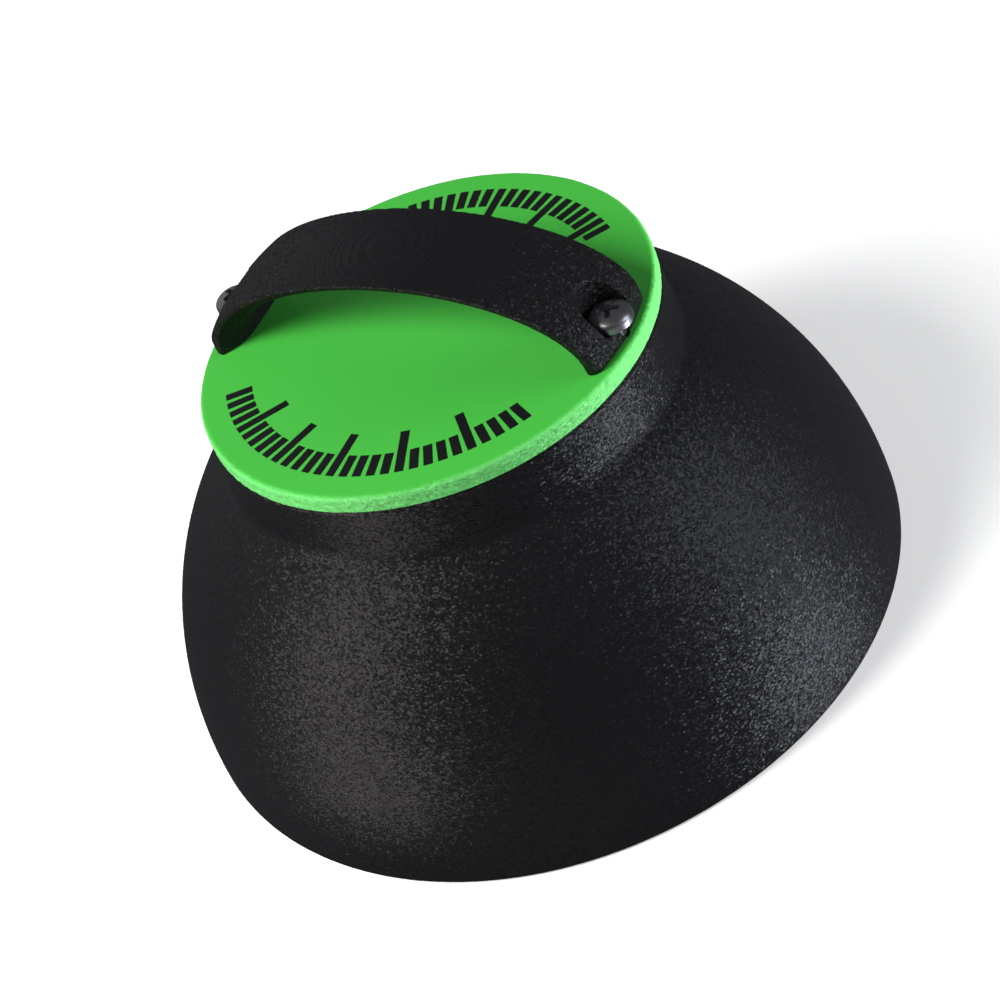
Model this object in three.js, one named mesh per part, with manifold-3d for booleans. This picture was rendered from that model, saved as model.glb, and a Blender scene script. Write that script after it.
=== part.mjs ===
// A plunger mute for a trumpet: a hollow half-round bell that rests on its rim, a round cap disc
// on the bell's neck, and an arched strap handle that two screws hold down through the disc.
// Millimetres, +Z up. The origin is the centre of the rim's plane, and the handle runs along X.

import * as THREE from "three";
import { mergeVertices } from "three/addons/utils/BufferGeometryUtils.js";
import Module from "manifold-3d";

// Driving dimensions

// The bell: its outside is half an ellipsoid, and a short neck carries the disc.
const rimRadius = 62.5;
const bellRise = 61.8;
const bellWall = 3;
const discRadius = 38.3;
const neckFlare = 0.1;
const neckHeight = 10;
const crownThickness = 3;
const ceilingDrop = 0.5;
const rimRound = 0.8;
const neckBevel = 0.4;

// The cap disc is as wide as the neck. Its upper edge is rounded, its lower edge has a small bevel.
const discThickness = 3.25;
const discRound = 0.9;
const discBevel = 0.3;

// The handle: a slice of a low half-ellipsoid dome, with a finger tunnel whose edges flare out to
// thin sides.
const footInset = 1.5;
const footLength = 5.8;
const handleWidth = 18.6;
const handleRise = 16.9;
const strapThickness = 4.2;
const cornerRadius = 2;
const edgeThickness = 0.6;
const flareStart = 2.8;

// The screws: pan heads with a cross recess, in counterbored seats near the ends of the feet.
const screwInset = 1.9;
const seatHeight = 2.8;
const headRadius = 3.5;
const headHeight = 2.6;
const headSideHeight = 1;
const screwLength = 13;
const coreRadius = 1.3;
const threadRadius = 1.75;
const tipLength = 3;
const crossSpan = 4.4;
const crossWidth = 1.15;
const crossDepth = 1.7;

// Clearances
const headClearance = 0.7;
const shankClearance = 0.25;
const pilotClearance = 0.3;
const pilotRunout = 1;
const overrun = 2;
const faceClearance = 0.5;

// What follows from these sizes
const neckFootRadius = discRadius + neckFlare;
const creaseHeight = bellRise * Math.sqrt(1 - (neckFootRadius / rimRadius) ** 2);
const neckTopHeight = creaseHeight + neckHeight;
const footRadius = discRadius - footInset;
const screwOffset = footRadius - screwInset;
const tunnelHalfSpan = footRadius - footLength;
const tunnelHeight = handleRise - strapThickness;
const faceShare = Math.sqrt(1 - (handleWidth / 2 / footRadius) ** 2);
const flareDepth = handleRise * faceShare - edgeThickness - tunnelHeight;
const flareRun = handleWidth / 2 - flareStart;
const flareRadius = (flareRun ** 2 + flareDepth ** 2) / (2 * flareDepth);

// How finely round shapes are cut into facets
const facetsRoundBell = 80;
const facetsRoundHole = 32;
const facetsRoundScrew = 24;
const stepsOnBellWall = 15;
const stepsOnRound = 4;
const stepsOnDome = 18;
const stepsOnFlare = 6;
const facetsRoundTunnel = 56;

// Materials
const blackPlastic = new THREE.MeshStandardMaterial({ color: 0x1e1f21, roughness: 0.72 });
const greenPlastic = new THREE.MeshStandardMaterial({ color: 0x4cc448, roughness: 0.5 });
const nickelSteel = new THREE.MeshStandardMaterial({ color: 0xb9bcc0, roughness: 0.25, metalness: 1 });

const wasm = await Module();
wasm.setup();

// A closed geometry as a solid that can be joined and cut
function solid(geometry) {
  const bare = geometry.clone();
  bare.deleteAttribute("normal");
  bare.deleteAttribute("uv");
  const merged = mergeVertices(bare);
  return new wasm.Manifold(
    new wasm.Mesh({
      numProp: 3,
      vertProperties: merged.attributes.position.array,
      triVerts: new Uint32Array(merged.index.array),
    }),
  );
}

// A solid as a geometry with flat facets
function geometryOf(body) {
  const mesh = body.getMesh();
  const geometry = new THREE.BufferGeometry();
  geometry.setAttribute("position", new THREE.BufferAttribute(mesh.vertProperties, mesh.numProp));
  geometry.setIndex(new THREE.BufferAttribute(mesh.triVerts, 1));
  const facets = geometry.toNonIndexed();
  facets.computeVertexNormals();
  return facets;
}

function part(name, geometry, material) {
  const mesh = new THREE.Mesh(geometry, material);
  mesh.name = name;
  return mesh;
}

// A profile of (radius, height) points, listed from the axis at the bottom to the axis at the top,
// turned about the Z axis
function turned(profile, facets) {
  return new THREE.LatheGeometry(profile, facets).rotateX(Math.PI / 2);
}

// An upright cylinder from one height to another, on an axis at x along the handle
function upright(radius, from, to, x) {
  return new THREE.CylinderGeometry(radius, radius, to - from, facetsRoundHole)
    .rotateX(Math.PI / 2)
    .translate(x, 0, (from + to) / 2);
}

// Points on an arc, both ends included, for a profile's rounded edge
function arc(centreX, centreY, radiusX, radiusY, startAngle, endAngle, steps) {
  const points = [];
  for (let i = 0; i <= steps; i++) {
    const angle = startAngle + ((endAngle - startAngle) * i) / steps;
    const x = centreX + radiusX * Math.cos(angle);
    points.push(new THREE.Vector2(Math.max(x, 0), centreY + radiusY * Math.sin(angle)));
  }
  return points;
}

// The angle at which an ellipse about the origin reaches a height
function angleAtHeight(height, rise) {
  return Math.asin(height / rise);
}

// The bell is turned from one closed profile: down the inside, round the rim and up the outside.
// The hollow's ceiling is flat, and it lies no higher than just under the top of the inner dome.
function makeBell() {
  const innerRadius = rimRadius - bellWall;
  const innerRise = bellRise - bellWall;
  const ceilingHeight = Math.min(neckTopHeight - crownThickness, innerRise - ceilingDrop);
  const ceilingAngle = angleAtHeight(ceilingHeight, innerRise);
  const rimAngle = angleAtHeight(rimRound, bellRise);
  const creaseAngle = Math.acos(neckFootRadius / rimRadius);
  const quarter = Math.PI / 2;
  const profile = [
    new THREE.Vector2(0, ceilingHeight),
    ...arc(0, 0, innerRadius, innerRise, ceilingAngle, rimAngle, stepsOnBellWall),
    ...arc(innerRadius + rimRound, rimRound, rimRound, rimRound, Math.PI, 3 * quarter, stepsOnRound),
    ...arc(rimRadius - rimRound, rimRound, rimRound, rimRound, -quarter, 0, stepsOnRound),
    ...arc(0, 0, rimRadius, bellRise, rimAngle, creaseAngle, stepsOnBellWall),
    new THREE.Vector2(discRadius, neckTopHeight - neckBevel),
    new THREE.Vector2(discRadius - neckBevel, neckTopHeight),
    new THREE.Vector2(0, neckTopHeight),
  ];
  const depth = screwLength - seatHeight - discThickness + pilotRunout;
  let body = solid(turned(profile, facetsRoundBell));
  for (const side of [-1, 1]) {
    const pilot = upright(
      coreRadius + pilotClearance,
      neckTopHeight - depth,
      neckTopHeight + overrun,
      side * screwOffset,
    );
    body = body.subtract(solid(pilot));
  }
  return geometryOf(body);
}

// The cap disc stands on its own underside, with a clear hole for each screw.
function makeCapDisc() {
  const quarter = Math.PI / 2;
  const profile = [
    new THREE.Vector2(0, 0),
    new THREE.Vector2(discRadius - discBevel, 0),
    new THREE.Vector2(discRadius, discBevel),
    ...arc(discRadius - discRound, discThickness - discRound, discRound, discRound, 0, quarter, stepsOnRound),
    new THREE.Vector2(0, discThickness),
  ];
  let body = solid(turned(profile, facetsRoundBell));
  for (const side of [-1, 1]) {
    const hole = upright(threadRadius + shankClearance, -overrun, discThickness + overrun, side * screwOffset);
    body = body.subtract(solid(hole));
  }
  return geometryOf(body);
}

// The dome that the handle's outside lies on
function makeDome() {
  const shell = arc(0, 0, footRadius, handleRise, 0, Math.PI / 2, stepsOnDome);
  return turned([new THREE.Vector2(0, 0), ...shell], facetsRoundBell);
}

// The handle's outline seen from above: straight sides, and rounded corners that run into the
// circle of the feet. The ends stand just outside that circle, so that only the dome shapes them.
function makeHandlePlan() {
  const halfWidth = handleWidth / 2;
  const cornerY = halfWidth - cornerRadius;
  const cornerX = Math.sqrt((footRadius - cornerRadius) ** 2 - cornerY ** 2);
  const endX = footRadius + overrun;
  const tangent = Math.atan2(cornerY, cornerX);
  const outline = new THREE.Shape();
  const leaveX = cornerX + cornerRadius * Math.cos(tangent);
  const leaveY = cornerY + cornerRadius * Math.sin(tangent);
  outline.moveTo(endX, -leaveY);
  outline.lineTo(endX, leaveY);
  outline.lineTo(leaveX, leaveY);
  outline.absarc(cornerX, cornerY, cornerRadius, tangent, Math.PI / 2, false);
  outline.absarc(-cornerX, cornerY, cornerRadius, Math.PI / 2, Math.PI - tangent, false);
  outline.lineTo(-endX, leaveY);
  outline.lineTo(-endX, -leaveY);
  outline.absarc(-cornerX, -cornerY, cornerRadius, Math.PI + tangent, (3 * Math.PI) / 2, false);
  outline.absarc(cornerX, -cornerY, cornerRadius, (3 * Math.PI) / 2, 2 * Math.PI - tangent, false);
  outline.closePath();
  return new THREE.ExtrudeGeometry(outline, {
    depth: handleRise + overrun,
    bevelEnabled: false,
    curveSegments: stepsOnRound,
  });
}

// The finger tunnel is lofted across the handle through ellipses. They keep their size in the
// middle and grow along an arc towards each side, where they leave the handle a thin edge.
function makeTunnel() {
  const lastAngle = Math.asin(flareRun / flareRadius);
  const side = [];
  for (let i = 0; i <= stepsOnFlare; i++) {
    const angle = (lastAngle * i) / stepsOnFlare;
    const y = flareStart + flareRadius * Math.sin(angle);
    side.push({ y, grow: flareRadius * (1 - Math.cos(angle)) });
  }
  side.push({ y: handleWidth / 2 + faceClearance, grow: side[stepsOnFlare].grow });
  const otherSide = side.map(({ y, grow }) => ({ y: -y, grow })).reverse();
  const stations = [...otherSide, ...side];
  const positions = [];
  const index = [];
  for (const { y, grow } of stations) {
    for (let k = 0; k < facetsRoundTunnel; k++) {
      const angle = (2 * Math.PI * k) / facetsRoundTunnel;
      const x = (tunnelHalfSpan + grow) * Math.cos(angle);
      positions.push(x, y, (tunnelHeight + grow) * Math.sin(angle));
    }
  }
  for (let s = 0; s + 1 < stations.length; s++) {
    for (let k = 0; k < facetsRoundTunnel; k++) {
      const a = s * facetsRoundTunnel + k;
      const b = s * facetsRoundTunnel + ((k + 1) % facetsRoundTunnel);
      index.push(a, a + facetsRoundTunnel, b, b, a + facetsRoundTunnel, b + facetsRoundTunnel);
    }
  }
  const last = (stations.length - 1) * facetsRoundTunnel;
  for (let k = 1; k + 1 < facetsRoundTunnel; k++) {
    index.push(0, k, k + 1);
    index.push(last, last + k + 1, last + k);
  }
  const geometry = new THREE.BufferGeometry();
  geometry.setAttribute("position", new THREE.Float32BufferAttribute(positions, 3));
  geometry.setIndex(index);
  return geometry;
}

// The handle stands on the undersides of its feet.
function makeHandle() {
  let body = solid(makeDome()).intersect(solid(makeHandlePlan())).subtract(solid(makeTunnel()));
  for (const side of [-1, 1]) {
    const x = side * screwOffset;
    const seat = upright(headRadius + headClearance, seatHeight, handleRise + overrun, x);
    const hole = upright(threadRadius + shankClearance, -overrun, seatHeight + overrun, x);
    body = body.subtract(solid(seat)).subtract(solid(hole));
  }
  return geometryOf(body);
}

// A plus-shaped blade, narrower at its tip, that leaves the cross recess of a screw head
function makeCrossBlade() {
  const long = crossSpan / 2;
  const half = crossWidth / 2;
  const outline = new THREE.Shape();
  outline.moveTo(long, -half);
  for (let quarter = 0; quarter < 4; quarter++) {
    const turn = (quarter * Math.PI) / 2;
    const corners = [[long, half], [half, half], [half, long]];
    for (const [x, y] of corners) {
      const turnedX = x * Math.cos(turn) - y * Math.sin(turn);
      outline.lineTo(turnedX, x * Math.sin(turn) + y * Math.cos(turn));
    }
  }
  outline.closePath();
  const blade = new THREE.ExtrudeGeometry(outline, { depth: crossDepth + overrun, bevelEnabled: false });
  const tipShare = 0.55;
  const place = blade.attributes.position;
  for (let i = 0; i < place.count; i++) {
    if (place.getZ(i) === 0) {
      place.setXY(i, place.getX(i) * tipShare, place.getY(i) * tipShare);
    }
  }
  return blade.translate(0, 0, headHeight - crossDepth);
}

// A screw stands with the flat underside of its head at its own origin.
function makeScrew() {
  const shankLength = screwLength - tipLength;
  const domeAngle = Math.PI / 2;
  const profile = [
    new THREE.Vector2(0, -screwLength),
    new THREE.Vector2(coreRadius, -shankLength),
    new THREE.Vector2(coreRadius, 0),
    new THREE.Vector2(headRadius, 0),
    ...arc(0, headSideHeight, headRadius, headHeight - headSideHeight, 0, domeAngle, stepsOnRound * 2),
  ];
  return geometryOf(solid(turned(profile, facetsRoundScrew)).subtract(solid(makeCrossBlade())));
}

const plungerMute = new THREE.Group();

plungerMute.add(part("bell", makeBell(), blackPlastic));

const top = new THREE.Group();
top.position.z = neckTopHeight;
top.add(part("cap_disc", makeCapDisc(), greenPlastic));

const grip = new THREE.Group();
grip.position.z = discThickness;
grip.add(part("handle", makeHandle(), blackPlastic));

const screwGeometry = makeScrew();
for (const [name, side] of [["screw_right", 1], ["screw_left", -1]]) {
  const screw = part(name, screwGeometry, nickelSteel);
  screw.position.set(side * screwOffset, 0, seatHeight);
  grip.add(screw);
}
top.add(grip);
plungerMute.add(top);

export default plungerMute;
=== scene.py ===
"""Plunger mute for a trumpet, printed in layers: a black bell with a short neck, a green cap disc,
an arched black handle and the two plated screws that hold them together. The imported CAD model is
the frame. Every piece but the tick marks stands for one of its nodes, in the same place and size."""

import math

import bmesh
import bpy
from bpy.props import FloatProperty, FloatVectorProperty, IntProperty, PointerProperty
from mathutils import Matrix, Vector, noise


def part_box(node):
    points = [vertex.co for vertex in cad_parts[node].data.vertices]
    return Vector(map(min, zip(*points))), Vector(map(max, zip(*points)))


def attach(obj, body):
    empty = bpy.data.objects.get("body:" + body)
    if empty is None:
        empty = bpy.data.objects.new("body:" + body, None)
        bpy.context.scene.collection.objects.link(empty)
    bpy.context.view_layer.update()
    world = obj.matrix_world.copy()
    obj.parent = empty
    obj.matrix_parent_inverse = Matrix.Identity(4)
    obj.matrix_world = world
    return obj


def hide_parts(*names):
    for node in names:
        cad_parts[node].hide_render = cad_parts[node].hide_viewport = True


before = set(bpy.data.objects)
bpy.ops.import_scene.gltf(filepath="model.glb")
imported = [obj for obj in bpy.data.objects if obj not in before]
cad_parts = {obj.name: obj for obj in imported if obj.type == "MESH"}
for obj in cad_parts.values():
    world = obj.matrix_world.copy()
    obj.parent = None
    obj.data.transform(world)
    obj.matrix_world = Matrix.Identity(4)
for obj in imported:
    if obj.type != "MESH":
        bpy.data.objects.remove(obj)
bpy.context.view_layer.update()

bl_info = {
    "name": "Plunger Mute Builder",
    "version": (1, 0, 0),
    "blender": (4, 5, 0),
    "location": "View3D > Sidebar > Mute",
    "description": "Builds a 3D-printed plunger mute piece by piece over its CAD frame",
    "category": "Add Mesh",
}

MM = 0.001
BODY = "root"
BELL_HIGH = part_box("bell")[1]
DISC_LOW, DISC_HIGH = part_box("cap_disc")
HANDLE_LOW, HANDLE_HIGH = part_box("handle")
SCREW_LOW, SCREW_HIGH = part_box("screw_right")
SCREW_X = (SCREW_HIGH.x + SCREW_LOW.x) / 2

# How far a cutter reaches past what it cuts.
OVERRUN = 1 * MM

# Points that are closer than this are one point.
SAME_PLACE = 0.001 * MM

# Edges that bend by more degrees than these stay crisp.
CRISP_PLASTIC = 34
CRISP_STEEL = 32

# A face whose normal stands this high was laid flat in rows. A steeper one is a wall of layers.
LAID_FLAT = 0.93

# PLA's index of refraction.
PLA_IOR = 1.46

# The camera was fitted to the rim, the disc and the outline in the photo. Lengths are in metres.
CAMERA_PLACE = Vector((0.22486, -0.25300, 0.30339))
CAMERA_SIGHT = Vector((-0.51241, 0.57480, -0.63787))
CAMERA_ROLL = math.radians(-24.716)
CAMERA_LENS = 94.62
CAMERA_CLIP = 0.01

# Most lights look at this place from this far, in metres. The floor is wide enough to have no edge.
LIGHT_TARGET = Vector((0, 0, 0.03))
LIGHT_DISTANCE = 0.9
FLOOR_SIZE = 6


def linear(hex_colour):
    """An sRGB colour like "4CC448" as linear red, green and blue."""
    channels = [int(hex_colour[i : i + 2], 16) / 255 for i in (0, 2, 4)]
    return [c / 12.92 if c <= 0.04045 else ((c + 0.055) / 1.055) ** 2.4 for c in channels]


def length(name, description, default):
    """A property that holds a length."""
    return FloatProperty(
        name=name, description=description, default=default, min=0, unit="LENGTH", subtype="DISTANCE"
    )


def angle(name, description, degrees):
    """A property that holds an angle."""
    return FloatProperty(
        name=name, description=description, default=math.radians(degrees), unit="ROTATION", subtype="ANGLE"
    )


def steps(name, description, default):
    """A property that holds the number of steps that a curve is drawn in."""
    return IntProperty(name=name, description=description, default=default, min=3)


def power(name, description, default):
    """A property that holds the power of a light."""
    return FloatProperty(name=name, description=description, default=default, min=0, unit="POWER")


def colour(name, description, hex_colour):
    """A property that holds a colour."""
    return FloatVectorProperty(
        name=name, description=description, default=linear(hex_colour), min=0, max=1, subtype="COLOR"
    )


class BellSizes(bpy.types.PropertyGroup):
    """Sizes of the bell, its neck and its rough printed skin."""

    rim_radius: length("Rim radius", "Outer radius at the open rim", BELL_HIGH.x)
    rise: length("Rise", "Height at which the round outside would close", 61.8 * MM)
    wall: length("Wall", "Thickness of the wall", 3 * MM)
    neck_foot_radius: length("Neck foot radius", "Radius where the neck meets the bell", 38.4 * MM)
    crease_round: length("Crease rounding", "Reach of the soft crease under the neck", 0.6 * MM)
    crown: length("Crown", "Thickness of the flat top of the neck", 3 * MM)
    rim_round: length("Rim rounding", "Radius of the rim's edges", 0.8 * MM)
    neck_bevel: length("Neck bevel", "Bevel under the disc", 0.4 * MM)
    grain: length("Grain", "Distance between the bumps of the rough skin", 0.9 * MM)
    skin: length("Skin depth", "How deep the rough skin goes", 0.035 * MM)
    around: steps("Steps around", "Steps around the whole bell", 560)
    outside_steps: steps("Steps outside", "Steps up the outside to the neck", 88)
    inside_steps: steps("Steps inside", "Steps up the inside", 38)
    neck_steps: steps("Steps of the neck", "Steps up the neck", 20)
    rim_steps: steps("Steps of the rim", "Steps of each rounding at the rim", 5)


class DiscSizes(bpy.types.PropertyGroup):
    """Sizes of the cap disc and its rough side."""

    radius: length("Radius", "Radius of the disc", DISC_HIGH.x)
    rounding: length("Rounding", "Radius of the upper edge", 0.9 * MM)
    bevel: length("Bevel", "Bevel of the lower edge", 0.3 * MM)
    hole_radius: length("Hole radius", "Radius of the clear holes for the screws", 2 * MM)
    grain: length("Grain", "Distance between the bumps of the rough side", 0.8 * MM)
    skin: length("Skin depth", "How deep the rough side goes", 0.16 * MM)
    rough_width: length("Rough width", "How far in from the side the disc is rough", 1.08 * MM)
    smooth_height: length("Smooth height", "Height under the top that stays smooth", 0.1 * MM)
    around: steps("Steps around", "Steps around the whole disc", 480)
    side_steps: steps("Steps of the side", "Steps up the upright side", 8)
    edge_steps: steps("Steps of the edge", "Steps of the rounded upper edge", 6)


class MarkSizes(bpy.types.PropertyGroup):
    """Sizes and places of the plain tick marks that are let into the disc."""

    inner: length("Inner end", "Distance from the centre to the long marks", 24.6 * MM)
    outer: length("Outer end", "Distance from the centre to the marks' far ends", 33.6 * MM)
    width: length("Width", "Width of one mark", 1.5 * MM)
    depth: length("Depth", "Height of one mark, most of it sunk in the disc", 0.2 * MM)
    rise: length("Rise", "How far a mark stands over the disc", 0.02 * MM)
    spacing: angle("Spacing", "Angle between two marks", 4)
    near_span: angle("Near span", "Angle that the marks before the handle cover", 112)
    far_span: angle("Far span", "Angle that the marks behind the handle cover", 84)
    long_every: IntProperty(
        name="Long marks", description="Every how many marks one is long", default=5, min=1
    )


class HandleSizes(bpy.types.PropertyGroup):
    """Sizes of the strap handle, the seats of its screws and its printed rows."""

    foot_radius: length("Foot radius", "Radius of the dome that the handle is cut from", 36.8 * MM)
    width: length("Width", "Width of the strap", HANDLE_HIGH.y - HANDLE_LOW.y)
    strap: length("Strap thickness", "Thickness over the middle of the tunnel", 4.2 * MM)
    foot_length: length("Foot length", "Length of each foot along the handle", 5.8 * MM)
    edge: length("Edge thickness", "Thickness left at the flared edge", 0.6 * MM)
    flare_start: length("Flare start", "Half the width of the tunnel's straight part", 2.8 * MM)
    corner: length("Corner radius", "Radius of the feet's corners seen from above", 2 * MM)
    seat_height: length("Seat height", "Height of the screw seats over the disc", 2.8 * MM)
    seat_radius: length("Seat radius", "Radius of the screw seats", 4.2 * MM)
    hole_radius: length("Hole radius", "Radius of the clear holes for the screws", 2 * MM)
    row: length("Row height", "Height of the printed rows on the crown", 0.12 * MM)
    grain: length("Grain", "Distance between the bumps and wavers of the print", 0.9 * MM)
    skin: length("Skin depth", "How deep the rough skin goes", 0.07 * MM)
    mesh_size: length("Mesh size", "Size of the even faces that carry the rows", 0.25 * MM)
    around: steps("Steps around", "Steps around the dome that the handle is cut from", 320)
    dome_steps: steps("Steps of the dome", "Steps up the dome", 64)
    hoop_steps: steps("Steps of a hoop", "Steps around each hoop of the tunnel", 160)
    bend_steps: steps("Steps of a bend", "Steps of the flare and of each corner", 12)


class ScrewSizes(bpy.types.PropertyGroup):
    """Sizes of a 3.5 mm pan head tapping screw with a number 2 cross."""

    head_radius: length("Head radius", "Radius of the head", 3.5 * MM)
    head_height: length("Head height", "Height of the head", 2.6 * MM)
    head_side: length("Head side", "Height of the head's upright side", 1 * MM)
    head_bevel: length("Head bevel", "Bevel under the head", 0.15 * MM)
    core_radius: length("Core radius", "Radius at the root of the thread", 1.3 * MM)
    thread_radius: length("Thread radius", "Radius at the crest of the thread", 1.75 * MM)
    thread_sink: length("Thread sink", "How deep the thread's foot sits in the core", 0.1 * MM)
    thread_start: length("Thread start", "Depth of the first turn under the head", 0.9 * MM)
    pitch: length("Pitch", "Distance between the turns of the thread", 1.3 * MM)
    tip: length("Tip length", "Length of the pointed tip", 3 * MM)
    plain_tip: length("Plain tip", "Length of the tip that has no thread", 0.8 * MM)
    cross: length("Cross span", "Width of the cross recess", 4.4 * MM)
    cross_arm: length("Cross arm", "Width of each arm of the cross recess", 1.1 * MM)
    cross_depth: length("Cross depth", "Depth of the cross recess", 1.8 * MM)
    around: steps("Steps around", "Steps around the screw", 96)
    dome_steps: steps("Steps of the head", "Steps up the head's dome", 16)
    turn_steps: steps("Steps of a turn", "Steps of each turn of the thread", 32)


class Finishes(bpy.types.PropertyGroup):
    """Colours of the plastics, the metal and the floor."""

    black: colour("Black plastic", "Colour of the bell and the handle", "161618")
    green: colour("Green plastic", "Colour of the cap disc", "4CC448")
    # The paler green is painted sheen: it stands for the white sheen and the stronger side light that the
    # disc's rough side catches.
    sheen_painted_green: colour("Green plastic with painted sheen", "Paler colour of the cap disc's rough side", "7AEA7E")
    steel: colour("Plated steel", "Colour of the screws", "C8CACC")
    floor: colour("Floor", "Colour of the studio floor", "F4F4F4")


class StudioSettings(bpy.types.PropertyGroup):
    """Strength and tint of the studio's lights."""

    left: power("Left light", "Power of the tall light on the left", 3.0)
    right: power("Right light", "Power of the light on the right", 1.45)
    low: power("Low light", "Power of the low light on the right", 2.1)
    low_front: power("Low front light", "Power of the dim wide light below the front", 0.26)
    table: power("Table light", "Power of the bright patch of the table before the bell", 0.0125)
    back: power("Back light", "Power of the light behind the left end of the handle", 0.3)
    front: power("Front light", "Power of the high light before the left side", 3.35)
    side: power("Side light", "Power of the light on the disc's right side", 10.0)
    warm: colour("Warm tint", "Colour of the left light and the table's patch", "FFF6F0")
    cool: colour("Cool tint", "Colour of the lights on the right", "EDF2FF")
    white: colour("White", "Colour of the other lights", "FFFFFF")
    surround: FloatVectorProperty(
        name="Surround",
        description="Dim light from all around",
        default=(0.06, 0.06, 0.065),
        min=0,
        subtype="COLOR",
    )
    glow: FloatProperty(
        name="Floor glow", description="Light that comes through the floor", default=0.4, min=0
    )


class MuteSettings(bpy.types.PropertyGroup):
    """Everything that a user may change before building the mute."""

    bell: PointerProperty(type=BellSizes)
    disc: PointerProperty(type=DiscSizes)
    marks: PointerProperty(type=MarkSizes)
    handle: PointerProperty(type=HandleSizes)
    screw: PointerProperty(type=ScrewSizes)
    finishes: PointerProperty(type=Finishes)
    studio: PointerProperty(type=StudioSettings)


# Materials


def add_node(tree, kind, inputs=None, **settings):
    """Add a node, set it up, and give each named input a value or another node's output."""
    node = tree.nodes.new(kind)
    for name, value in settings.items():
        setattr(node, name, value)
    for socket, value in (inputs or {}).items():
        if isinstance(value, bpy.types.NodeSocket):
            tree.links.new(value, node.inputs[socket])
        else:
            node.inputs[socket].default_value = value
    return node


def new_material(name):
    """An empty material, its node tree and its shader."""
    material = bpy.data.materials.new(name)
    material.use_nodes = True
    tree = material.node_tree
    shader = tree.nodes["Principled BSDF"]
    return material, tree, shader


def in_millimetres(tree):
    """The place on the piece in millimetres."""
    place = add_node(tree, "ShaderNodeTexCoord")
    return add_node(
        tree, "ShaderNodeVectorMath", {0: place.outputs["Object"], "Scale": 1 / MM}, operation="SCALE"
    ).outputs[0]


def facing_up(tree):
    """How much the surface faces up: 1 on a flat top, 0 on a wall and -1 on a flat underside."""
    place = add_node(tree, "ShaderNodeTexCoord")
    return add_node(tree, "ShaderNodeSeparateXYZ", {0: place.outputs["Normal"]}).outputs["Z"]


def wave_scale(spacing_mm):
    """The scale at which a wave texture's lines lie this far apart. At a scale of 1 they are tau / 20."""
    return math.tau / (20 * spacing_mm)


def grained(tree, millimetres, smooth_normal, grain_mm, lean, flat_share):
    """The normal of a wall whose nozzle wobbled at random, so that each grain leans its own way.

    The grains are flatter than they are wide, as the layers are. Most lean little and a few lean
    far, which is what the steepening is for. Where a face looks straight up there is no wall to
    wobble, and only a share of the lean is left.
    """
    flatness = 1.5
    middle = (0.5, 0.5, 0.5)
    least_steep, steeper = (0.5, 0.5, 0.5), (2, 2, 2)
    quite_flat = 0.997
    squeezed = add_node(tree, "ShaderNodeMapping", {"Vector": millimetres, "Scale": (1, 1, flatness)})
    grains = add_node(
        tree, "ShaderNodeTexVoronoi", {"Vector": squeezed.outputs[0], "Scale": 1 / grain_mm}
    )
    aside = add_node(
        tree, "ShaderNodeVectorMath", {0: grains.outputs["Color"], 1: middle}, operation="SUBTRACT"
    )
    squared = add_node(
        tree, "ShaderNodeVectorMath", {0: aside.outputs[0], 1: aside.outputs[0]}, operation="MULTIPLY"
    )
    steepening = add_node(
        tree,
        "ShaderNodeVectorMath",
        {0: squared.outputs[0], 1: steeper, 2: least_steep},
        operation="MULTIPLY_ADD",
    )
    steepened = add_node(
        tree, "ShaderNodeVectorMath", {0: steepening.outputs[0], 1: aside.outputs[0]}, operation="MULTIPLY"
    )
    amount = add_node(
        tree,
        "ShaderNodeMapRange",
        {
            "Value": facing_up(tree),
            "From Min": LAID_FLAT,
            "From Max": quite_flat,
            "To Min": lean,
            "To Max": lean * flat_share,
        },
        interpolation_type="SMOOTHSTEP",
    )
    tilt = add_node(
        tree,
        "ShaderNodeVectorMath",
        {0: steepened.outputs[0], "Scale": amount.outputs[0]},
        operation="SCALE",
    )
    leaning = add_node(
        tree, "ShaderNodeVectorMath", {0: smooth_normal, 1: tilt.outputs[0]}, operation="ADD"
    )
    return add_node(
        tree, "ShaderNodeVectorMath", {0: leaning.outputs[0]}, operation="NORMALIZE"
    ).outputs[0]


def black_printed_plastic(finishes):
    """PLA, drawn by a nozzle that wobbles: satin black, broken into fine bright grains.

    Real grains are about 0.3 mm wide. These are 0.33 mm, so that a picture still shows them.
    """
    material, tree, shader = new_material("black_printed_pla")
    surface = add_node(tree, "ShaderNodeNewGeometry")
    normal = grained(
        tree, in_millimetres(tree), surface.outputs["Normal"], grain_mm=0.33, lean=0.6, flat_share=0.2
    )
    shader.inputs["Base Color"].default_value = (*finishes.black, 1)
    shader.inputs["IOR"].default_value = PLA_IOR
    shader.inputs["Roughness"].default_value = 0.36
    tree.links.new(normal, shader.inputs["Normal"])
    return material


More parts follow.
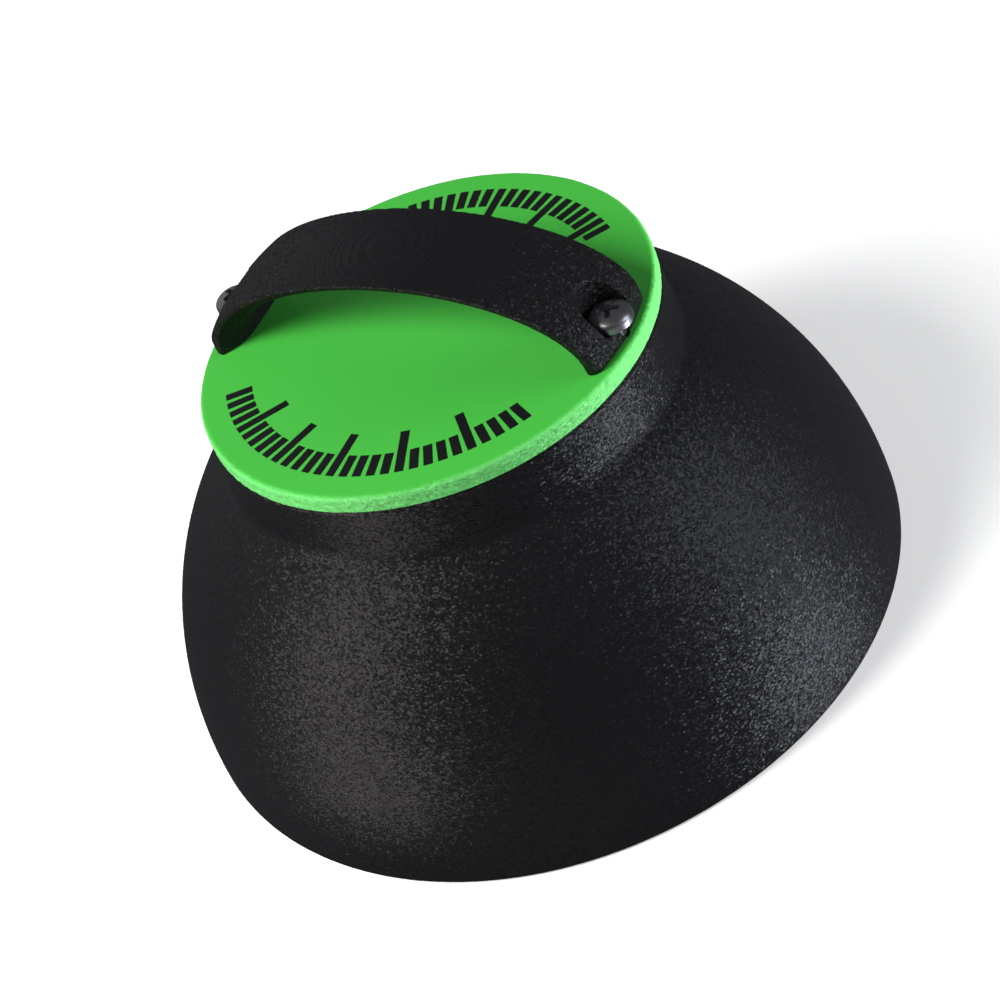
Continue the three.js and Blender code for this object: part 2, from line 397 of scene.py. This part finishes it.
def black_strap_plastic(finishes):
    """The bell's PLA on a low dome: its top shows the nozzle's round paths, its sides the grain.

    Real paths are about 0.4 mm wide. These lie 0.85 mm apart, so that a picture still shows them.
    The tunnel's roof was laid over thin air, so it is rough and dull.
    """
    material, tree, shader = new_material("black_strap_pla")
    millimetres = in_millimetres(tree)
    paths = add_node(
        tree,
        "ShaderNodeTexWave",
        {
            "Vector": millimetres,
            "Scale": wave_scale(0.849),
            "Distortion": 1.2,
            "Detail": 1.0,
            "Detail Scale": 0.6,
        },
        wave_type="RINGS",
        rings_direction="Z",
    )
    ridges = add_node(
        tree, "ShaderNodeBump", {"Strength": 1.0, "Distance": 0.008 * MM, "Height": paths.outputs["Fac"]}
    )
    normal = grained(tree, millimetres, ridges.outputs[0], grain_mm=0.33, lean=1.3, flat_share=0.12)
    roughness = add_node(
        tree,
        "ShaderNodeMapRange",
        {"Value": facing_up(tree), "From Min": -0.2, "From Max": 0.08, "To Min": 0.95, "To Max": 0.4},
    )
    shader.inputs["Base Color"].default_value = (*finishes.black, 1)
    shader.inputs["IOR"].default_value = PLA_IOR
    tree.links.new(roughness.outputs[0], shader.inputs["Roughness"])
    tree.links.new(normal, shader.inputs["Normal"])
    return material


def green_printed_plastic(finishes):
    """PLA, printed face down: a flat satin top with faint slanting lines, and a rough side whose paler
    green is painted sheen, standing for the white sheen and the stronger light that the side catches.

    The lines are the nozzle's paths, 0.45 mm apart as real ones are.
    """
    material, tree, shader = new_material("green_printed_pla")
    millimetres = in_millimetres(tree)
    upward = add_node(
        tree, "ShaderNodeMapRange", {"Value": facing_up(tree), "From Min": 0.5, "From Max": 0.95}
    )
    # Painted sheen: faces that turn to the side get the paler green, for the light and sheen that the
    # rough side catches.
    tint = add_node(
        tree,
        "ShaderNodeMix",
        {"Factor": upward.outputs[0], "A": (*finishes.sheen_painted_green, 1), "B": (*finishes.green, 1)},
        data_type="RGBA",
    )
    slanted = add_node(
        tree, "ShaderNodeMapping", {"Vector": millimetres, "Rotation": (0, 0, math.radians(45))}
    )
    lines = add_node(
        tree,
        "ShaderNodeTexWave",
        {"Vector": slanted.outputs[0], "Scale": wave_scale(0.449), "Distortion": 0.6, "Detail": 1.0},
        wave_type="BANDS",
        bands_direction="X",
    )
    ridges = add_node(
        tree, "ShaderNodeBump", {"Strength": 1.0, "Distance": 0.006 * MM, "Height": lines.outputs["Fac"]}
    )
    normal = grained(tree, millimetres, ridges.outputs[0], grain_mm=0.4, lean=0.5, flat_share=0)
    shader.inputs["IOR"].default_value = PLA_IOR
    shader.inputs["Roughness"].default_value = 0.5
    tree.links.new(tint.outputs["Result"], shader.inputs["Base Color"])
    tree.links.new(normal, shader.inputs["Normal"])
    return material


def inlaid_plastic(finishes):
    """The same black PLA, but pressed flat on the print bed with the disc's top: smooth and even."""
    material, tree, shader = new_material("black_inlaid_pla")
    ripple_mm = 1.11
    ripples = add_node(
        tree, "ShaderNodeTexNoise", {"Vector": in_millimetres(tree), "Scale": 1 / ripple_mm, "Detail": 2.0}
    )
    bump = add_node(
        tree, "ShaderNodeBump", {"Strength": 0.3, "Distance": 0.05 * MM, "Height": ripples.outputs["Fac"]}
    )
    shader.inputs["Base Color"].default_value = (*finishes.black, 1)
    shader.inputs["Roughness"].default_value = 0.5
    tree.links.new(bump.outputs[0], shader.inputs["Normal"])
    return material


def plated_steel(finishes):
    """Nickel on pressed steel: bright and a little cloudy, with fine tool marks."""
    material, tree, shader = new_material("nickel_plated_steel")
    cloud_mm = 1.43
    clouds = add_node(
        tree, "ShaderNodeTexNoise", {"Vector": in_millimetres(tree), "Scale": 1 / cloud_mm, "Detail": 4.0}
    )
    gloss = add_node(
        tree,
        "ShaderNodeMapRange",
        {"Value": clouds.outputs["Fac"], "From Min": 0.3, "From Max": 0.7, "To Min": 0.28, "To Max": 0.42},
    )
    bump = add_node(
        tree, "ShaderNodeBump", {"Strength": 0.5, "Distance": 0.03 * MM, "Height": clouds.outputs["Fac"]}
    )
    shader.inputs["Base Color"].default_value = (*finishes.steel, 1)
    shader.inputs["Metallic"].default_value = 1.0
    tree.links.new(gloss.outputs[0], shader.inputs["Roughness"])
    tree.links.new(bump.outputs[0], shader.inputs["Normal"])
    return material


def studio_paper(finishes, glow):
    """Matt white paper on a light table: pale and even, because a little light comes through it."""
    material, tree, shader = new_material("studio_paper")
    shader.inputs["Base Color"].default_value = (*finishes.floor, 1)
    shader.inputs["Roughness"].default_value = 0.9
    shader.inputs["Specular IOR Level"].default_value = 0.2
    shader.inputs["Emission Color"].default_value = (1, 1, 1, 1)
    shader.inputs["Emission Strength"].default_value = glow
    return material


# Mesh making


def arc(centre, radii, start, end, count):
    """Points in the XZ plane on part of an ellipse, both ends included. The angles are in radians."""
    points = []
    for i in range(count + 1):
        turn = start + (end - start) * i / count
        x = max(centre[0] + radii[0] * math.cos(turn), 0)
        points.append(Vector((x, 0, centre[1] + radii[1] * math.sin(turn))))
    return points


def line(start, end, count):
    """Points in the XZ plane on a straight line, both ends included."""
    points = []
    for i in range(count + 1):
        share = i / count
        x = start[0] + (end[0] - start[0]) * share
        points.append(Vector((x, 0, start[1] + (end[1] - start[1]) * share)))
    return points


def soften(points, corner, reach, rounds=8):
    """Round off a corner of a line of points by evening out the points near it, round after round."""
    for _ in range(rounds):
        evened = list(points)
        for i in range(1, len(points) - 1):
            if (points[i] - corner).length < reach:
                evened[i] = (points[i - 1] + points[i + 1]) / 2
        points = evened
    return points


def turned(points, count):
    """A closed solid turned about the Z axis from a profile whose two ends lie on it."""
    bm = bmesh.new()
    verts = [bm.verts.new(p) for p in points]
    edges = [bm.edges.new(pair) for pair in zip(verts, verts[1:])]
    bmesh.ops.spin(
        bm, geom=verts + edges, axis=(0, 0, 1), cent=(0, 0, 0), angle=math.tau, steps=count, use_merge=True
    )
    bmesh.ops.remove_doubles(bm, verts=bm.verts, dist=SAME_PLACE)
    bmesh.ops.recalc_face_normals(bm, faces=bm.faces)
    return bm


def upright(radius, low, high, x, segments=96):
    """A closed upright cylinder at a place along the handle."""
    bm = bmesh.new()
    bmesh.ops.create_cone(
        bm,
        cap_ends=True,
        segments=segments,
        radius1=radius,
        radius2=radius,
        depth=high - low,
        matrix=Matrix.Translation((x, 0, (low + high) / 2)),
    )
    return bm


def prism(outline, start, end):
    """A prism from an outline at one height to another height, and the vertices of its far end."""
    bm = bmesh.new()
    face = bm.faces.new([bm.verts.new((x, y, start)) for x, y in outline])
    grown = bmesh.ops.extrude_face_region(bm, geom=[face])["geom"]
    far_end = [part for part in grown if isinstance(part, bmesh.types.BMVert)]
    bmesh.ops.translate(bm, vec=(0, 0, end - start), verts=far_end)
    return bm, far_end


def crisp_edges(bm, degrees):
    """Shade smoothly, but keep edges that bend more than this crisp."""
    bm.normal_update()
    for face in bm.faces:
        face.smooth = True
    for edge in bm.edges:
        edge.smooth = len(edge.link_faces) != 2 or edge.calc_face_angle(0) < math.radians(degrees)


def roughen(bm, grain, depth, chosen=lambda vert: True):
    """Push the walls in by up to depth, in coarse random waves with finer and weaker ones on them."""
    finer, weaker = 2.1, 0.5
    middle, swing = 0.5, 0.6
    bm.normal_update()
    moves = []
    for vert in bm.verts:
        if chosen(vert):
            wave = noise.noise(vert.co / grain) + weaker * noise.noise(vert.co * finer / grain)
            sideways = Vector((vert.normal.x, vert.normal.y, 0))
            moves.append((vert, sideways * depth * min(max(middle + swing * wave, 0), 1)))
    for vert, move in moves:
        vert.co -= move


def new_object(name, bm):
    """A mesh object at the origin from a bmesh, which is freed."""
    mesh = bpy.data.meshes.new(name)
    bm.to_mesh(mesh)
    bm.free()
    obj = bpy.data.objects.new(name, mesh)
    bpy.context.scene.collection.objects.link(obj)
    return obj


def add_piece(name, bm, material, slot, *nodes):
    """A finished piece of the mute that rides on its body and stands for its CAD nodes."""
    piece = new_object(name, bm)
    piece.data.materials.append(material)
    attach(piece, BODY)
    if nodes:
        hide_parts(*nodes)
    return piece


def carved(start, cuts, voxel=0.0):
    """The start solid after each (operation, cutter) in turn, remeshed evenly if a voxel size is given."""
    work = new_object("work", start)
    cutters = []
    for operation, cutter in cuts:
        tool = new_object("cutter", cutter)
        cutters.append(tool)
        modifier = work.modifiers.new(operation, "BOOLEAN")
        modifier.operation = operation
        modifier.solver = "EXACT"
        modifier.object = tool
    if voxel:
        remesh = work.modifiers.new("even", "REMESH")
        remesh.mode = "VOXEL"
        remesh.voxel_size = voxel
        remesh.adaptivity = 0
    graph = bpy.context.evaluated_depsgraph_get()
    result = bmesh.new()
    result.from_mesh(work.evaluated_get(graph).to_mesh())
    for obj in [work, *cutters]:
        bpy.data.meshes.remove(obj.data)
    if not result.faces:
        raise RuntimeError("a cut left nothing of the solid")
    return result


# Operators


class MUTE_OT_bell(bpy.types.Operator):
    """Turn the bell with its neck, and roughen its printed outside"""

    bl_idname = "mute.bell"
    bl_label = "Bell"

    def execute(self, context):
        mute = context.scene.plunger_mute
        sizes = mute.bell
        bm = turned(bell_profile(sizes), sizes.around)
        crisp_edges(bm, CRISP_PLASTIC)
        roughen(bm, sizes.grain, sizes.skin, lambda vert: vert.normal.xy.dot(vert.co.xy) > 0)
        add_piece("bell_shell", bm, black_printed_plastic(mute.finishes), "black_plastic", "bell")
        return {"FINISHED"}


def bell_profile(sizes):
    """The bell's outline from the middle of its ceiling, over the rim, to the middle of its top."""
    rim, rise, edge = sizes.rim_radius, sizes.rise, sizes.rim_round
    inner_rim, inner_rise = rim - sizes.wall, rise - sizes.wall
    top, disc_radius = BELL_HIGH.z, DISC_HIGH.x
    ceiling = top - sizes.crown
    quarter = math.pi / 2
    lip_angle = math.asin(edge / rise)
    ceiling_angle = math.asin(ceiling / inner_rise)
    crease_angle = math.acos(sizes.neck_foot_radius / rim)
    inside = arc((0, 0), (inner_rim, inner_rise), ceiling_angle, lip_angle, sizes.inside_steps)
    inner_lip = arc((inner_rim + edge, edge), (edge, edge), math.pi, 3 * quarter, sizes.rim_steps)
    outer_lip = arc((rim - edge, edge), (edge, edge), -quarter, 0, sizes.rim_steps)
    outside = arc((0, 0), (rim, rise), lip_angle, crease_angle, sizes.outside_steps)
    foot = (sizes.neck_foot_radius, rise * math.sin(crease_angle))
    neck = line(foot, (disc_radius, top - sizes.neck_bevel), sizes.neck_steps)
    wall_line = soften(outside[1:] + neck[1:], outside[-1], sizes.crease_round)
    return [
        Vector((0, 0, ceiling)),
        *inside,
        *inner_lip[1:],
        *outer_lip[1:],
        *wall_line,
        Vector((disc_radius - sizes.neck_bevel, 0, top)),
        Vector((0, 0, top)),
    ]


class MUTE_OT_cap_disc(bpy.types.Operator):
    """Turn the cap disc, drill it for the screws and roughen its side"""

    bl_idname = "mute.cap_disc"
    bl_label = "Cap disc"

    def execute(self, context):
        mute = context.scene.plunger_mute
        sizes = mute.disc
        low, high = DISC_LOW.z, DISC_HIGH.z
        edge = sizes.rounding
        side = line((sizes.radius, low + sizes.bevel), (sizes.radius, high - edge), sizes.side_steps)
        shoulder = arc((sizes.radius - edge, high - edge), (edge, edge), 0, math.pi / 2, sizes.edge_steps)
        profile = [
            Vector((0, 0, low)),
            Vector((sizes.radius - sizes.bevel, 0, low)),
            *side,
            *shoulder[1:],
            Vector((0, 0, high)),
        ]
        cuts = []
        for x in (-SCREW_X, SCREW_X):
            cuts.append(("DIFFERENCE", upright(sizes.hole_radius, low - OVERRUN, high + OVERRUN, x)))
        bm = carved(turned(profile, sizes.around), cuts)
        crisp_edges(bm, CRISP_PLASTIC)
        flat_top = 0.9999
        for face in bm.faces:
            if face.normal.z > flat_top:
                face.smooth = False
        rough_from = sizes.radius - sizes.rough_width
        rough_below = high - sizes.smooth_height
        roughen(
            bm,
            sizes.grain,
            sizes.skin,
            lambda vert: vert.co.xy.length > rough_from and vert.co.z < rough_below,
        )
        add_piece("cap_disc_plate", bm, green_printed_plastic(mute.finishes), "green_plastic", "cap_disc")
        return {"FINISHED"}


class MUTE_OT_marks(bpy.types.Operator):
    """Let two arcs of plain tick marks into the top of the disc"""

    bl_idname = "mute.marks"
    bl_label = "Tick marks"

    def execute(self, context):
        mute = context.scene.plunger_mute
        sizes = mute.marks
        middle_height = DISC_HIGH.z + sizes.rise - sizes.depth / 2
        near, far = -math.pi / 2, math.pi / 2
        bm = bmesh.new()
        for middle, span in ((near, sizes.near_span), (far, sizes.far_span)):
            count = round(span / sizes.spacing) + 1
            for i in range(count):
                turn = middle - span / 2 + span * i / (count - 1)
                is_long = (i - count // 2) % sizes.long_every == 0
                inner = sizes.inner if is_long else (sizes.inner + sizes.outer) / 2
                made = bmesh.ops.create_cube(bm, size=1)["verts"]
                bmesh.ops.scale(bm, vec=(sizes.outer - inner, sizes.width, sizes.depth), verts=made)
                bmesh.ops.translate(bm, vec=((sizes.outer + inner) / 2, 0, middle_height), verts=made)
                bmesh.ops.rotate(bm, cent=(0, 0, 0), matrix=Matrix.Rotation(turn, 3, "Z"), verts=made)
        add_piece("tick_marks", bm, inlaid_plastic(mute.finishes), "black_plastic")
        return {"FINISHED"}


class MUTE_OT_handle(bpy.types.Operator):
    """Slice the handle from a low dome, open its tunnel and screw seats, and print it in rows"""

    bl_idname = "mute.handle"
    bl_label = "Handle"

    def execute(self, context):
        mute = context.scene.plunger_mute
        sizes = mute.handle
        low, high = HANDLE_LOW.z, HANDLE_HIGH.z
        rise = high - low
        dome = arc((0, low), (sizes.foot_radius, rise), 0, math.pi / 2, sizes.dome_steps)
        seat = low + sizes.seat_height
        cuts = [
            ("INTERSECT", handle_plan(sizes, low - OVERRUN, high + OVERRUN)),
            ("DIFFERENCE", finger_tunnel(sizes, low, rise)),
        ]
        for x in (-SCREW_X, SCREW_X):
            cuts.append(("DIFFERENCE", upright(sizes.seat_radius, seat, high + OVERRUN, x)))
            cuts.append(("DIFFERENCE", upright(sizes.hole_radius, low - OVERRUN, seat + OVERRUN, x)))
        bm = carved(turned([Vector((0, 0, low)), *dome], sizes.around), cuts, voxel=sizes.mesh_size)
        bmesh.ops.smooth_vert(
            bm, verts=bm.verts, factor=0.5, use_axis_x=True, use_axis_y=True, use_axis_z=True
        )
        print_in_rows(bm, sizes, low)
        roughen(bm, sizes.grain, sizes.skin)
        for face in bm.faces:
            face.smooth = True
        add_piece("strap_handle", bm, black_strap_plastic(mute.finishes), "black_plastic", "handle")
        return {"FINISHED"}


def handle_plan(sizes, low, high):
    """A prism over the handle's outline seen from above. The dome gives the feet their round ends."""
    corner, radius = sizes.corner, sizes.foot_radius
    centre_y = sizes.width / 2 - corner
    centre_x = math.sqrt((radius - corner) ** 2 - centre_y**2)
    tangent = math.atan2(centre_y, centre_x)
    bend = arc((centre_x, centre_y), (corner, corner), tangent, math.pi / 2, sizes.bend_steps)
    quarter = [(p.x, p.z) for p in bend]
    quarter.insert(0, (radius + 2 * OVERRUN, bend[0].z))
    outline = quarter + [(-x, y) for x, y in reversed(quarter)]
    outline += [(-x, -y) for x, y in quarter] + [(x, -y) for x, y in reversed(quarter)]
    bm, _ = prism(outline, low, high)
    bmesh.ops.recalc_face_normals(bm, faces=bm.faces)
    return bm


def finger_tunnel(sizes, low, rise):
    """The tunnel under the handle: hoops that grow towards both sides, bridged into a barrel."""
    half = sizes.width / 2
    height = rise - sizes.strap
    span = sizes.foot_radius - sizes.foot_length
    face_height = rise * math.sqrt(1 - (half / sizes.foot_radius) ** 2)
    depth = face_height - sizes.edge - height
    run = half - sizes.flare_start
    radius = (run**2 + depth**2) / (2 * depth)
    down = -math.pi / 2
    end = down + math.asin(run / radius)
    flare = arc((sizes.flare_start, radius), (radius, radius), down, end, sizes.bend_steps)
    stations = [(p.x, p.z) for p in flare]
    stations.append((half + OVERRUN / 2, depth))
    bm = bmesh.new()
    hoops = []
    for y, grow in [(-y, grow) for y, grow in reversed(stations)] + stations:
        place = Matrix.Translation((0, y, low)) @ Matrix.Rotation(math.pi / 2, 4, "X")
        size = Matrix.Diagonal((span + grow, height + grow, 1, 1))
        made = bmesh.ops.create_circle(
            bm, cap_ends=False, segments=sizes.hoop_steps, radius=1, matrix=place @ size
        )
        verts = set(made["verts"])
        hoops.append([e for e in bm.edges if e.verts[0] in verts and e.verts[1] in verts])
    for first, second in zip(hoops, hoops[1:]):
        bmesh.ops.bridge_loops(bm, edges=first + second)
    for hoop in (hoops[0], hoops[-1]):
        bmesh.ops.contextual_create(bm, geom=hoop)
    bmesh.ops.recalc_face_normals(bm, faces=bm.faces)
    return bm


def print_in_rows(bm, sizes, low):
    """Step the crown down to the rows that it was printed in, with short ramps between them.

    The steps' edges waver a little where the crown slopes, as the nozzle did. The steps fade out
    towards the walls, and nowhere are they cut to their full depth.
    """
    top = HANDLE_HIGH.z - sizes.row / 3
    foot = low + 2 * sizes.mesh_size
    waver_per_slope = 30
    tread_share, depth_share = 0.7, 0.75
    fade = 0.05
    bm.normal_update()
    moves = []
    for vert in bm.verts:
        up = vert.normal.z
        if up > LAID_FLAT and vert.co.z > foot:
            waver = noise.noise(vert.co / sizes.grain) * min(max(1 - up, 0) * waver_per_slope, 1)
            rows = (vert.co.z - top) / sizes.row + waver
            whole_rows = math.floor(rows)
            ramp = max(rows - whole_rows - tread_share, 0) / (1 - tread_share)
            stepped = top + (whole_rows - 0.5 + ramp - waver) * sizes.row
            weight = depth_share * min((up - LAID_FLAT) / fade, 1)
            moves.append((vert, (stepped - vert.co.z) * weight))
    for vert, move in moves:
        vert.co.z += move


class MUTE_OT_screws(bpy.types.Operator):
    """Turn the screw heads, press their crosses and wind the threads"""

    bl_idname = "mute.screws"
    bl_label = "Screws"

    def execute(self, context):
        mute = context.scene.plunger_mute
        sizes = mute.screw
        material = plated_steel(mute.finishes)
        seat = SCREW_HIGH.z - sizes.head_height
        for name, x, cross_turn in (("right", SCREW_X, 20), ("left", -SCREW_X, 65)):
            bm = screw_solid(sizes)
            turn = Matrix.Rotation(math.radians(cross_turn), 3, "Z")
            bmesh.ops.rotate(bm, cent=(0, 0, 0), matrix=turn, verts=bm.verts)
            bmesh.ops.translate(bm, vec=(x, 0, seat), verts=bm.verts)
            crisp_edges(bm, CRISP_STEEL)
            add_piece("pan_screw_" + name, bm, material, "plated_steel", "screw_" + name)
        return {"FINISHED"}


def screw_solid(sizes):
    """A screw whose head stands on the height zero."""
    tip = SCREW_HIGH.z - SCREW_LOW.z - sizes.head_height
    dome_rise = sizes.head_height - sizes.head_side
    dome = arc((0, sizes.head_side), (sizes.head_radius, dome_rise), 0, math.pi / 2, sizes.dome_steps)
    profile = [
        Vector((0, 0, -tip)),
        Vector((sizes.core_radius, 0, sizes.tip - tip)),
        Vector((sizes.core_radius, 0, 0)),
        Vector((sizes.head_radius - sizes.head_bevel, 0, 0)),
        Vector((sizes.head_radius, 0, sizes.head_bevel)),
        *dome,
    ]
    body = turned(profile, sizes.around)
    return carved(body, [("DIFFERENCE", cross_blade(sizes)), ("UNION", thread(sizes, tip))])


def thread(sizes, depth):
    """The raised thread below the head: a ridge that winds down and narrows with the tip."""
    half_ridge_share, least_share = 0.3, 0.12
    foot, start = sizes.core_radius - sizes.thread_sink, -sizes.thread_start
    half = half_ridge_share * sizes.pitch
    ridge = [
        Vector((foot, 0, start - half)),
        Vector((sizes.thread_radius, 0, start)),
        Vector((foot, 0, start + half)),
    ]
    bm = bmesh.new()
    verts = [bm.verts.new(p) for p in ridge]
    edges = [bm.edges.new((verts[i - 1], verts[i])) for i in range(3)]
    turns = (depth + start - sizes.plain_tip) / sizes.pitch
    count = round(turns * sizes.turn_steps)
    bmesh.ops.spin(
        bm,
        geom=verts + edges,
        axis=(0, 0, 1),
        cent=(0, 0, 0),
        dvec=(0, 0, -sizes.pitch / sizes.turn_steps),
        angle=math.tau * count / sizes.turn_steps,
        steps=count,
    )
    bmesh.ops.holes_fill(bm, edges=bm.edges, sides=3)
    for vert in bm.verts:
        share = min(max((vert.co.z + depth) / sizes.tip, least_share), 1)
        vert.co.x *= share
        vert.co.y *= share
    bmesh.ops.recalc_face_normals(bm, faces=bm.faces)
    return bm


def cross_blade(sizes):
    """A tapered plus-shaped blade that leaves the head's cross recess."""
    end_shares = (0.45, 0.6, 1)
    long, half = sizes.cross / 2, sizes.cross_arm / 2
    outline = []
    for quarter in range(4):
        turn = Matrix.Rotation(quarter * math.pi / 2, 2)
        for x, y in ((long, -half), (long, half), (half, half)):
            outline.append(turn @ Vector((x, y)))
    bm, far_end = prism(outline, sizes.head_height + OVERRUN / 2, sizes.head_height - sizes.cross_depth)
    bmesh.ops.scale(bm, vec=end_shares, verts=far_end)
    bmesh.ops.recalc_face_normals(bm, faces=bm.faces)
    return bm


class MUTE_OT_stage(bpy.types.Operator):
    """Set the floor, the soft lights and the camera"""

    bl_idname = "mute.stage"
    bl_label = "Studio"

    def execute(self, context):
        mute = context.scene.plunger_mute
        scene = context.scene
        add_floor(studio_paper(mute.finishes, mute.studio.glow))

        world = bpy.data.worlds.new("studio")
        world.use_nodes = True
        world.node_tree.nodes["Background"].inputs["Color"].default_value = (*mute.studio.surround, 1)
        scene.world = world

        add_lights(mute.studio)

        camera = bpy.data.objects.new("camera", bpy.data.cameras.new("camera"))
        scene.collection.objects.link(camera)
        camera.data.lens = CAMERA_LENS
        camera.data.clip_start = CAMERA_CLIP
        camera.location = CAMERA_PLACE
        level = CAMERA_SIGHT.to_track_quat("-Z", "Y").to_matrix()
        camera.rotation_euler = (level @ Matrix.Rotation(CAMERA_ROLL, 3, "Z")).to_euler()
        scene.camera = camera
        scene.view_settings.view_transform = "Standard"
        return {"FINISHED"}


def add_floor(paper):
    """A wide floor that neither lights the mute nor blocks the lights that stand below it."""
    bm = bmesh.new()
    bmesh.ops.create_grid(bm, x_segments=1, y_segments=1, size=FLOOR_SIZE)
    floor = new_object("studio_floor", bm)
    floor.data.materials.append(paper)
    floor.visible_glossy = False
    floor.visible_shadow = False
    floor.visible_diffuse = False


def add_lights(studio):
    """The studio's soft lights. Each has its width and height in metres, then azimuth and elevation."""
    warm, cool, white = studio.warm, studio.cool, studio.white
    add_light("left_light", studio.left, (0.18, 1.2), (-125, 24), warm)
    add_light("right_light", studio.right, (0.25, 0.7), (16, 20), cool)
    add_light("low_light", studio.low, (0.25, 0.35), (13, -28), cool)
    add_light("low_front_light", studio.low_front, (0.9, 0.7), (-70, -30), white)
    # The table's patch lies just over the floor, before the bell, and shines straight up.
    over_patch = Vector((-0.018, -0.108, 0.1))
    table = add_light("table_light", studio.table, (0.05, 0.05), (0, -90), warm, over_patch, 0.098)
    table.visible_camera = False
    add_light("back_light", studio.back, (0.8, 0.8), (160, 20), white)
    front = add_light("front_light", studio.front, (0.22, 0.22), (-125, 47), white, distance=0.6)
    side = add_light("side_light", studio.side, (0.4, 0.4), (33, 5), white)
    front.visible_glossy = False
    side.visible_glossy = False


def add_light(name, watts, size, direction, tint, target=LIGHT_TARGET, distance=LIGHT_DISTANCE):
    """A soft rectangular light that looks at the target from a direction in degrees."""
    light = bpy.data.lights.new(name, "AREA")
    light.shape = "RECTANGLE"
    light.size, light.size_y = size
    light.energy = watts
    light.color = tint
    azimuth, elevation = map(math.radians, direction)
    level = math.cos(elevation)
    way = Vector((level * math.cos(azimuth), level * math.sin(azimuth), math.sin(elevation)))
    lamp = bpy.data.objects.new(name, light)
    lamp.location = target + way * distance
    lamp.rotation_euler = way.to_track_quat("Z", "Y").to_euler()
    bpy.context.scene.collection.objects.link(lamp)
    return lamp


class MUTE_PT_panel(bpy.types.Panel):
    """Lists the steps that build the mute"""

    bl_label = "Plunger mute"
    bl_idname = "MUTE_PT_panel"
    bl_space_type = "VIEW_3D"
    bl_region_type = "UI"
    bl_category = "Mute"

    def draw(self, context):
        for step in STEPS:
            self.layout.operator(step.bl_idname)


STEPS = (MUTE_OT_bell, MUTE_OT_cap_disc, MUTE_OT_marks, MUTE_OT_handle, MUTE_OT_screws, MUTE_OT_stage)
GROUPS = (BellSizes, DiscSizes, MarkSizes, HandleSizes, ScrewSizes, Finishes, StudioSettings, MuteSettings)
CLASSES = (*GROUPS, *STEPS, MUTE_PT_panel)


def register():
    for cls in CLASSES:
        bpy.utils.register_class(cls)
    bpy.types.Scene.plunger_mute = PointerProperty(type=MuteSettings)


def unregister():
    del bpy.types.Scene.plunger_mute
    for cls in reversed(CLASSES):
        bpy.utils.unregister_class(cls)


def main():
    register()
    bpy.ops.mute.bell()
    bpy.ops.mute.cap_disc()
    bpy.ops.mute.marks()
    bpy.ops.mute.handle()
    bpy.ops.mute.screws()
    bpy.ops.mute.stage()


if __name__ == "__main__":
    main()
